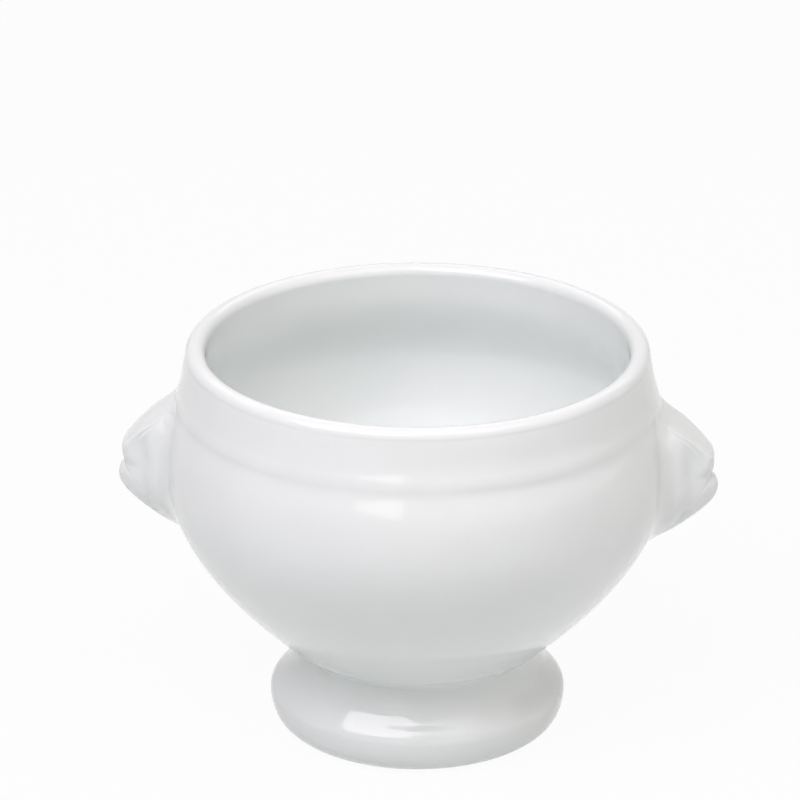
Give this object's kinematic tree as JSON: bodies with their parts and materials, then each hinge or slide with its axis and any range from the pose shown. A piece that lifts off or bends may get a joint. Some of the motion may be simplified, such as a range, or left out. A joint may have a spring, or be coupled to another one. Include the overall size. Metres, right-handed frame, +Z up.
{
  "type": "footed soup bowl",
  "caption": "Round bellied soup bowl in white glazed porcelain, with a rounded lip, a leaning collar that ends in a bead over a soft groove, sculpted lion-head lugs on its sides and a hollow waisted pedestal foot.",
  "frame": {"origin": "centre of the foot's standing ring, on the table plane", "axes": "+Z up along the bowl's axis, +X through the middle of the right-hand lion head, +Y away from the viewer"},
  "size_m": [0.1484, 0.1244, 0.1006],
  "materials": {
    "white_glaze": "clear gloss glaze over white porcelain",
    "slip": "fired slip, glazed over where it shows"
  },
  "bodies": {
    "root": {"bowl": "white_glaze", "pedestal_foot": "white_glaze", "foot_slip_joint": "slip", "lion_head_left": "white_glaze", "lion_head_right": "white_glaze", "lion_slip_left": "slip", "lion_slip_right": "slip"}
  },
  "joints": []
}
